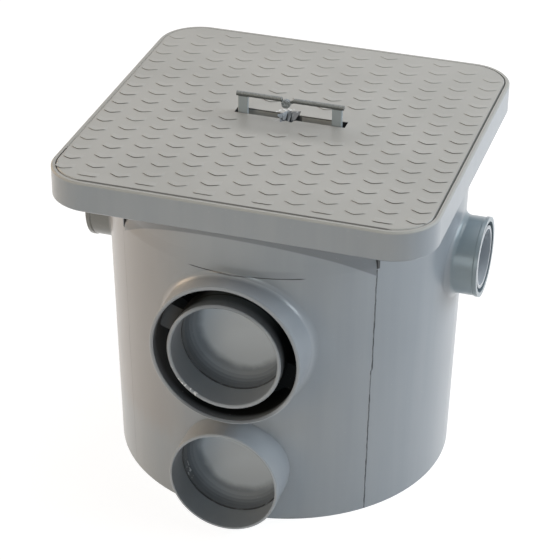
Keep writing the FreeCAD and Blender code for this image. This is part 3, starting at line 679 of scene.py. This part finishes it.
handle_finish, wire, place = start_finish("handle_pvc")
x, y, z = millimetres(wire, place)
cloud = noise(wire, place, BLOTCH_SIZE, 3.0)
spots = noise(wire, place, WEAR_SIZE, 3.0)
grey = cloud.ramp(0.25, 0.75).blend(LEG_GREY, LEG_PALE)
bar = z.ramp(BAR_BASE - 0.2, BAR_BASE)
grey = bar.blend(grey, spots.ramp(0.45, 0.62).blend(BAR_GREY, BAR_WORN))
grey = (z.band(BAR_BASE + 0.5, 0.7, 0.25) * 0.85).blend(grey, BAR_SHADE)
disc = (x - DISC_CENTRE[0]).hypot(z - DISC_CENTRE[1]).ramp(DISC_RADIUS + 0.3, DISC_RADIUS)
grey = disc.blend(grey, spots.ramp(0.48, 0.58).blend(DISC_DARK, DISC_PALE))
moulded(wire, grey, HANDLE_ROUGHNESS + cloud * 0.1, skin_bump(wire, place, HANDLE_SKIN, HANDLE_GRAIN))
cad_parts["lift_handle"].data.materials[0] = handle_finish
print("handle finish:", len(handle_finish.node_tree.nodes), "nodes")

# %% [markdown]
# ## The lid's slip-proof pattern
# The lid is covered with rows of low fish scales. Each scale has a steep front edge, a blunt V half a
# millimetre high, and slopes back into the lid, so from the front it shows as a thin dark line, deepened
# with painted shade. They could be a bump texture, but a visible shape should be geometry, so each scale is
# a small grid of points: one function of two parameters, worked out for all scales at once. The grid's own
# UV map tells the finish how far a point lies behind the front edge, so the painted shade follows every
# scale.

# %% Where the scales sit
COLUMN_PITCH = 20.45 * MM
ROW_PITCH = 15.0 * MM
COLUMNS_ASIDE = 6
ROWS_ASIDE = 9
PATTERN_SHIFT = np.array([-0.9, 0.0]) * MM
SCALE_MIDDLE = 2.0 * MM
LID_HALF = lid_high[0]
LID_CORNER = 28.5 * MM
LID_MARGIN = 2.6 * MM
# Columns and rows of the places round the handle that have no scale.
BARE_PLACES = {(-2, 0), (-1, 0), (0, 0), (1, 0), (2, 0), (0, 1), (-2, 1), (2, 1),
               (-1, -1), (0, -1), (1, -1), (2, -1), (-1, -2)}


def scale_places():
    """Lattice of scale fronts: columns a pitch apart, every other one shifted by half a row."""
    columns = np.arange(-COLUMNS_ASIDE, COLUMNS_ASIDE + 1)
    rows = np.arange(-ROWS_ASIDE, ROWS_ASIDE)
    column, row = (axis.ravel() for axis in np.meshgrid(columns, rows, indexing="ij"))
    x = column * COLUMN_PITCH + PATTERN_SHIFT[0]
    y = (row + 0.5 * (column % 2)) * ROW_PITCH + PATTERN_SHIFT[1]
    bare = np.array([place in BARE_PLACES for place in zip(column, row)])
    beyond = np.maximum(np.abs([x, y + SCALE_MIDDLE]) - (LID_HALF - LID_CORNER), 0)
    return np.stack([x, y], axis=1)[~bare & (np.hypot(*beyond) < LID_CORNER - LID_MARGIN)]


places = scale_places()
print(len(places), "scales on the lid")

# %% Shape of a scale
SCALE_HALF = 7.5 * MM
SCALE_SLOPE = 0.62
SCALE_BLUNT = 1.2 * MM
SCALE_HEIGHT = 0.55 * MM
SCALE_LENGTH = 6.5 * MM
SCALE_SINK = 0.05 * MM
FRONT_STRIP_REACH = 0.30 * MM
FRONT_STRIP_LIFT = 0.03 * MM
WORN_SHARE = 0.5
FRONT_LIMIT = -125.2 * MM


def scale_surface(places, across=11):
    """Points of all scales, as an array of scales by rows by columns by 3.

    The front edge is a blunt V, y = sqrt(b^2 + (k x)^2) - b. From the front, the rows are a strip on the
    lid that takes painted shade, the foot and top of the steep edge, and a slope that falls as (1 - t)^1.5.
    Heights fade towards the edge's ends as 1 - u^6, and scales at the back of the lid are worn lower.
    """
    u = np.linspace(-1, 1, across)
    behind = np.array([-FRONT_STRIP_REACH, 0, 0, SCALE_LENGTH / 3, SCALE_LENGTH])
    share = np.array([0, 0, 1, (2 / 3) ** 1.5, 0])
    sink = np.array([-FRONT_STRIP_LIFT, -FRONT_STRIP_LIFT, 0, 0, SCALE_SINK])
    x = SCALE_HALF * u
    front = np.sqrt(SCALE_BLUNT ** 2 + (SCALE_SLOPE * x) ** 2) - SCALE_BLUNT
    worn = 1 - WORN_SHARE * np.clip(places[:, 1] / LID_HALF, 0, 1)
    height = SCALE_HEIGHT * worn[:, None, None] * (1 - u ** 6) * share[:, None]
    grid = np.empty((len(places), len(behind), across, 3))
    grid[..., 0] = np.clip(places[:, 0, None, None] + x, LID_MARGIN - LID_HALF, LID_HALF - LID_MARGIN)
    grid[..., 1] = np.maximum(places[:, 1, None, None] + front, FRONT_LIMIT) + behind[:, None]
    grid[..., 2] = lid_high[2] + height - sink[:, None]
    return grid


scale_grid = scale_surface(places)
print("each scale has", scale_grid[0, ..., 0].size, "points")

# %% From points to a piece
SEAM_GAP = 0.0001 * MM


def grid_mesh(name, grid, crease):
    """Makes one mesh of several grids of points, an array of patches by rows by columns by 3.

    Its UV map runs from 0 to 1 across a patch in u and through its rows in v. Points that fall together,
    as where a ring meets its own start, are welded. Edges that bend by more than crease, in degrees, stay
    sharp.
    """
    patches, rows, columns = grid.shape[:3]
    number = np.arange(patches * rows * columns).reshape(patches, rows, columns)
    quads = np.stack([number[:, :-1, :-1], number[:, :-1, 1:],
                      number[:, 1:, 1:], number[:, 1:, :-1]], axis=-1)
    mesh = bpy.data.meshes.new(name)
    mesh.from_pydata(grid.reshape(-1, 3), [], quads.reshape(-1, 4))
    across, along = np.meshgrid(np.linspace(0, 1, columns), np.linspace(0, 1, rows))
    chart = np.tile(np.stack([across, along], axis=-1).reshape(-1, 2), (patches, 1))
    corner = np.empty(len(mesh.loops), dtype=np.int32)
    mesh.loops.foreach_get("vertex_index", corner)
    mesh.uv_layers.new(name="patch").data.foreach_set("uv", chart[corner].ravel())
    welded = bmesh.new()
    welded.from_mesh(mesh)
    bmesh.ops.remove_doubles(welded, verts=welded.verts, dist=SEAM_GAP)
    welded.to_mesh(mesh)
    welded.free()
    mesh.shade_smooth()
    mesh.set_sharp_from_angle(angle=math.radians(crease))
    return mesh


def add_piece(name, grid, finish, body, crease=40.0):
    """Makes a piece of grids of points, gives it a finish and lets it ride on a body."""
    piece = bpy.data.objects.new(name, grid_mesh(name, grid, crease))
    piece.data.materials.append(finish)
    scene.collection.objects.link(piece)
    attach(piece, body)
    print(name, "has", len(piece.data.polygons), "faces")


add_piece("lid_grip_scales", scale_grid, scale_finish, "box")

# %% [markdown]
# ## Torn finger cup
# The thin skin over the finger cup is torn open, and its scraps hang down from the hole's edge. They could
# be sculpted, but a scrap is only a bent flake, so each one is a small grid: it starts on the edge between
# two corners of the tear, narrows and drops towards the slot, with a ridge along its middle. No scrap
# reaches into the slot, where the handle's disc comes down. The tear itself is whitened in places.

# %% Scraps of skin
# Angle in degrees and distance in millimetres of the tear's corners, and how far the scrap that follows
# each corner drops.
TEAR = {33: 7.2, 64: 12.2, 92: 8.8, 111: 10.6, 146: 7.6, 178: 9.2,
        225: 7.4, 250: 11.4, 262: 7.0, 296: 9.4, 312: 7.4, 342: 9.8}
SCRAPS = {33: 4.2, 64: 3.2, 92: 5.0, 111: 3.6, 146: 2.6, 225: 1.6, 250: 2.6, 262: 2.0, 296: 1.7}
SLOT_SIDES = (-1.1, 4.6)
SCRAP_PULL = 0.8
SCRAP_TIP = 0.35
SCRAP_RIDGE = 0.7
SCRAP_BEND = 0.7
SCRAP_SINK = 0.05


def scrap_surface():
    """Points of all scraps: base edge times (1 - t) plus tip times t, dropping as t^0.7 of the drop.

    The row narrows from the edge's width to a third of it, and its middle stands above its sides.
    """
    angles = np.radians(list(TEAR))
    radii = np.array(list(TEAR.values()))
    corner = np.stack([radii * np.cos(angles), radii * np.sin(angles)], axis=1) + CUP_CENTRE
    first = np.array([list(TEAR).index(angle) for angle in SCRAPS])
    start, stop = corner[first], corner[(first + 1) % len(TEAR)]
    middle = (start + stop) / 2
    slot_side = np.where(middle[:, 1] > CUP_CENTRE[1], SLOT_SIDES[1], SLOT_SIDES[0])
    tip = np.stack([SCRAP_PULL * middle[:, 0], slot_side], axis=1)
    drop = np.array(list(SCRAPS.values()))
    t = np.linspace(0, 1, 4)[None, :, None, None]
    u = np.linspace(-0.5, 0.5, 3)[None, None, :, None]
    narrow = 1 - (1 - SCRAP_TIP) * t
    along = (stop - start)[:, None, None, :]
    flat = middle[:, None, None, :] * (1 - t) + tip[:, None, None, :] * t + along * u * narrow
    fall = drop[:, None, None, None] * t ** SCRAP_BEND - SCRAP_RIDGE * t * (0.5 - np.abs(u))
    return np.concatenate([flat, LID_TOP - SCRAP_SINK - fall], axis=-1) * MM


print(len(SCRAPS), "scraps round the cup")

# %% Torn skin
SCRAP_SHADED = (0.030, 0.034, 0.038, 1.0)
SCRAP_LIT = (0.135, 0.151, 0.166, 1.0)
SCRAP_EDGE = (0.36, 0.38, 0.39, 1.0)
SCRAP_ROUGHNESS = 0.30
SCRAP_CREASE = 12.0

scrap_finish, wire, place = start_finish("torn_skin")
spots = noise(wire, place, TORN_CHIP_SIZE, 3.0)
across, behind = own_chart(wire)
# Painted light on the scraps at the left, painted shade at the right.
side = (millimetres(wire, place)[0] + spots * 4.0).ramp(4.0, -3.0)
grey = side.blend(SCRAP_SHADED, SCRAP_LIT)
grey = (behind.ramp(0.16, 0.04) * spots.ramp(0.50, 0.58)).blend(grey, SCRAP_EDGE)
moulded(wire, grey, SCRAP_ROUGHNESS + spots * 0.1, skin_bump(wire, place, 0.2, 0.1))
add_piece("torn_cup_scraps", scrap_surface(), scrap_finish, "box", SCRAP_CREASE)

# %% [markdown]
# ## Dust beside the lid
# At the left and the back, the gap round the lid is packed with dust, so no dark line shows there. The dust
# could be left to the lid's finish, but it bridges two pieces, so it is a narrow band of its own, carried
# along the gap and a little hollow in its middle.

# %% Dust in the gap
GAP_HALF = 132.1 * MM
GAP_CORNER = 28.9 * MM
DUST_START = -90.0 * MM
DUST_WIDTH = 0.9 * MM
DUST_HEIGHT = lid_high[2] - 0.55 * MM
DUST_HOLLOW = 0.15 * MM
SIDE_POINTS = 20
ARC_POINTS = 13
GRIT_SIZE = 900.0
GRIT_DARK, GRIT_PALE = tinted(LID_GREY, 0.85), tinted(LID_PALE, 1.05)
GRIT_ROUGHNESS = 0.7
GRIT_SKIN, GRIT_GRAIN = 0.4, 0.5


def dust_path():
    """Points and outward directions along the gap, from the left side round the back to its far corner."""
    flat = GAP_HALF - GAP_CORNER
    arc = np.radians(np.linspace(180, 90, ARC_POINTS))
    side = np.full(SIDE_POINTS, GAP_HALF)
    left = np.stack([-side, np.linspace(DUST_START, flat, SIDE_POINTS)], axis=1)
    turn = np.stack([-flat + GAP_CORNER * np.cos(arc), flat + GAP_CORNER * np.sin(arc)], axis=1)
    back = np.stack([np.linspace(-flat, flat, SIDE_POINTS), side], axis=1)
    path = np.concatenate([left[:-1], turn, back[1:]])
    step = np.gradient(path, axis=0)
    step /= np.linalg.norm(step, axis=1, keepdims=True)
    return path, np.stack([-step[:, 1], step[:, 0]], axis=1)


def dust_band():
    """The band's profile across the gap, z = top - hollow (1 - s^2), carried along the path."""
    path, outward = dust_path()
    s = np.linspace(1, -1, 5)
    flat = path[:, None, :] + outward[:, None, :] * s[None, :, None] * DUST_WIDTH / 2
    level = np.broadcast_to(DUST_HEIGHT - DUST_HOLLOW * (1 - s ** 2), flat.shape[:2])
    return np.concatenate([flat, level[..., None]], axis=-1)[None]


dust_finish, wire, place = start_finish("gap_dust")
grain = noise(wire, place, GRIT_SIZE, 3.0)
grey = grain.ramp(0.35, 0.65).blend(GRIT_DARK, GRIT_PALE)
moulded(wire, grey, GRIT_ROUGHNESS + grain * 0.2, skin_bump(wire, place, GRIT_SKIN, GRIT_GRAIN))
add_piece("gap_dust_band", dust_band(), dust_finish, "box")

# %% [markdown]
# ## Parting lines
# The chamber was moulded in a tool that opens along two upright planes, 45 degrees either side of the
# front. Where its halves met they left a thin ridge down the wall, uneven on the right and clean on the
# left, and another across each front corner of the head. A painted line would catch no light, so each is a
# small profile, a low ridge, carried up the wall. The right one is coloured dark as painted shade along its
# step.

# %% Shape of a ridge
FOOT_RADIUS = 123.7 * MM
NECK_RADIUS = 129.5 * MM
NECK_HEIGHT = 235.0 * MM
RIDGE_SINK = 0.06 * MM
WAVES = np.array([160.0, 390.0, 910.0])
WAVE_STARTS = np.array([0.3, 1.7, 4.1])


def wall_radius(height):
    """Outer radius of the chamber, which widens evenly from foot to neck."""
    return FOOT_RADIUS + (NECK_RADIUS - FOOT_RADIUS) * height / NECK_HEIGHT


def upright_ridge(turn, radius, heights, widths, rise):
    """A ridge at angle turn from the front: rise (1 - s^2) across, on a surface at a radius."""
    s = np.linspace(-1, 1, 7)
    angle = turn[:, None] + widths[:, None] * s / 2 / radius[:, None]
    out = radius[:, None] + (rise + RIDGE_SINK) * (1 - s ** 2) - RIDGE_SINK
    z = np.broadcast_to(heights[:, None], angle.shape)
    return np.stack([out * np.sin(angle), -out * np.cos(angle), z], axis=-1)[None]


def wander(heights, seed):
    """An uneven run between -1 and 1: the mean of three sine waves of different lengths."""
    return np.sin(heights[:, None] * WAVES + WAVE_STARTS * seed).mean(axis=1)


print("wall from", FOOT_RADIUS / MM, "to", NECK_RADIUS / MM, "mm radius")

# %% Ridges down the wall
WALL_HEIGHTS = np.linspace(0.6, 201.8, 160) * MM
RIDGE_WIDTH = 1.15 * MM
RIDGE_RISE = 0.24 * MM
FAINT_RISE = 0.06 * MM
STEP_HEIGHT = 120 * MM
STEP_TURN = 0.35
LEFT_TURN = 0.8
BREAK_FROM, BREAK_TO = 100 * MM, 116 * MM
BREAK_SHARE = 0.25
SEAM_SHADE = (0.060, 0.064, 0.069, 1.0)
SEAM_SHADE_PALE = (0.150, 0.160, 0.170, 1.0)
SEAM_SHADE_SIZE = 160.0
SEAM_SHADE_ROUGHNESS = 0.5
SEAM_SHADE_SKIN, SEAM_SHADE_GRAIN = 0.2, 0.2

# The right ridge is coloured dark as painted shade along its step.
seam_finish, wire, place = start_finish("parting_line_shade")
patch = noise(wire, place, SEAM_SHADE_SIZE, 3.0)
grey = patch.ramp(0.4, 0.65).blend(SEAM_SHADE, SEAM_SHADE_PALE)
moulded(wire, grey, SEAM_SHADE_ROUGHNESS + patch * 0.2, skin_bump(wire, place, SEAM_SHADE_SKIN, SEAM_SHADE_GRAIN))

wall = wall_radius(WALL_HEIGHTS)
broken = np.where((WALL_HEIGHTS > BREAK_FROM) & (WALL_HEIGHTS < BREAK_TO), BREAK_SHARE, 1.0)
widths = RIDGE_WIDTH * (0.80 + 0.25 * wander(WALL_HEIGHTS, 2.0)) * broken
stepped = STEP_TURN * (WALL_HEIGHTS < STEP_HEIGHT)
turn = np.radians(PARTING_ANGLE + 0.10 * wander(WALL_HEIGHTS, 1.0) - stepped)
ridge = upright_ridge(turn, wall, WALL_HEIGHTS, widths, RIDGE_RISE)
add_piece("parting_line_right", ridge, seam_finish, "box")
turn = np.radians(-PARTING_ANGLE - LEFT_TURN + 0.15 * wander(WALL_HEIGHTS, 3.0))
ridge = upright_ridge(turn, wall, WALL_HEIGHTS, widths, FAINT_RISE)
add_piece("parting_line_left", ridge, body_finish, "box")

# %% Ridges on the head's corners
HEAD_HEIGHTS = np.linspace(236.2, 255.4, 24) * MM
HEAD_CORNER = 178.26 * MM
HEAD_RIDGE_WIDTH = 0.7 * MM

even = np.ones(len(HEAD_HEIGHTS))
for side, angle in (("right", PARTING_ANGLE), ("left", -PARTING_ANGLE)):
    turn = np.radians(angle) * even
    ridge = upright_ridge(turn, HEAD_CORNER * even, HEAD_HEIGHTS, HEAD_RIDGE_WIDTH * even, FAINT_RISE)
    add_piece("head_parting_line_" + side, ridge, body_finish, "box")

# %% [markdown]
# ## Ends of the panel
# Over the front inlet the panel stands out in a sharp brow, but towards its two ends it sinks into the
# wall, and there the mould left a soft sweep. It fills the small ledge: it leaves the wall upright, bends
# in and meets the panel upright again. A bevel can't fade out along an edge like this, so the sweep is
# worked out from the two radii that it joins.

# %% Sweeps
PANEL_RADIUS = 121.1
PANEL_SHIFT = 8.0
PANEL_TURN = math.radians(3.8)
SWEEP_FROM, SWEEP_TO = 202.3, 213.0
SWEEP_LIFT = 0.05
SWEEP_TUCK = 0.10
SWEEPS = {"panel_sweep_left": (-44.8, -14.0), "panel_sweep_right": (21.5, 44.8)}


def sweep_surface(first, last):
    """Points between two angles: radius = wall + (panel - wall) t^2 (3 - 2 t), with t from 0 to 1 in z.

    The panel's circle is shifted, so seen from the axis its radius is c cos(a) + sqrt(r^2 - c^2 sin^2(a)).
    The sweep is lifted a little, and tucked in at its upper and lower edges so that no gap shows.
    """
    angle = np.radians(np.linspace(first, last, 40))
    off = angle - PANEL_TURN
    panel = PANEL_SHIFT * np.cos(off) + np.sqrt(PANEL_RADIUS ** 2 - (PANEL_SHIFT * np.sin(off)) ** 2)
    t = np.linspace(0, 1, 14)[:, None]
    wall = wall_radius(BROW_HEIGHT * MM) / MM
    lift = SWEEP_LIFT - SWEEP_TUCK * np.abs(2 * t - 1) ** 8
    radius = wall + (panel - wall) * t ** 2 * (3 - 2 * t) + lift
    z = np.broadcast_to(SWEEP_FROM + (SWEEP_TO - SWEEP_FROM) * t, radius.shape)
    return np.stack([radius * np.sin(angle), -radius * np.cos(angle), z], axis=-1)[None] * MM


for name, (first, last) in SWEEPS.items():
    add_piece(name, sweep_surface(first, last), body_finish, "box")

# %% [markdown]
# ## Fillets at the sockets
# Where a socket grows out of the chamber, the mould has a rounded corner, and its hollow curve catches a
# narrow line of light. A bevel needs one clean edge loop, which the CAD's triangles don't have. A socket
# meets the wall in a saddle curve, so each fillet is a quarter of a circle carried round that curve,
# between the wall and the socket.

# %% Fillets
FILLET_RADIUS = 4.5 * MM
FILLET_SINK = 0.06 * MM
INLET_HEIGHT = FRONT_SOCKETS["inlet"][0] * MM
INLET_RADIUS = 54.0 * MM
TUBE_HEIGHT = SIDE_HEIGHT * MM
TUBE_RADIUS = 28.3 * MM
# Each socket's sideways and outward directions, its axis's height and its outside radius.
ROOTS = {
    "fillet_front_inlet": ((1, 0, 0), (0, -1, 0), INLET_HEIGHT, INLET_RADIUS),
    "fillet_right_inlet": ((0, 1, 0), (1, 0, 0), TUBE_HEIGHT, TUBE_RADIUS),
    "fillet_left_inlet": ((0, -1, 0), (-1, 0, 0), TUBE_HEIGHT, TUBE_RADIUS),
}


def fillet_surface(sideways, outward, height, radius):
    """Points round a socket: saddle point + F (1 - sin s) t + F (1 - cos s) o, s from 0 to 90 degrees.

    t leads away from the socket along the wall, o leads out along the socket, and F is the fillet's radius.
    The saddle point at angle f is where the socket's line at f meets the chamber's wall. Both edges of the
    fillet are sunk a little, so that no gap shows.
    """
    sideways, outward, up = (np.array(way, float) for way in (sideways, outward, (0, 0, 1)))
    f = np.linspace(2 * np.pi, 0, 121)[:, None]
    aside, level = radius * np.sin(f), height + radius * np.cos(f)
    wall = wall_radius(level)
    reach = np.sqrt(wall ** 2 - aside ** 2)
    saddle = aside * sideways + reach * outward + level * up
    from_axis = (aside * sideways + reach * outward) / wall
    from_socket = np.sin(f) * sideways + np.cos(f) * up
    away = from_socket - (from_socket * from_axis).sum(axis=1, keepdims=True) * from_axis
    away /= np.linalg.norm(away, axis=1, keepdims=True)
    s = np.linspace(0, np.pi / 2, 9)[:, None, None]
    sink = FILLET_SINK * np.cos(2 * s) ** 8 * (np.cos(s) * from_axis + np.sin(s) * from_socket)
    return (saddle + FILLET_RADIUS * ((1 - np.sin(s)) * away + (1 - np.cos(s)) * outward) - sink)[None]


for name, root in ROOTS.items():
    add_piece(name, fillet_surface(*root), body_finish, "box")

# %% [markdown]
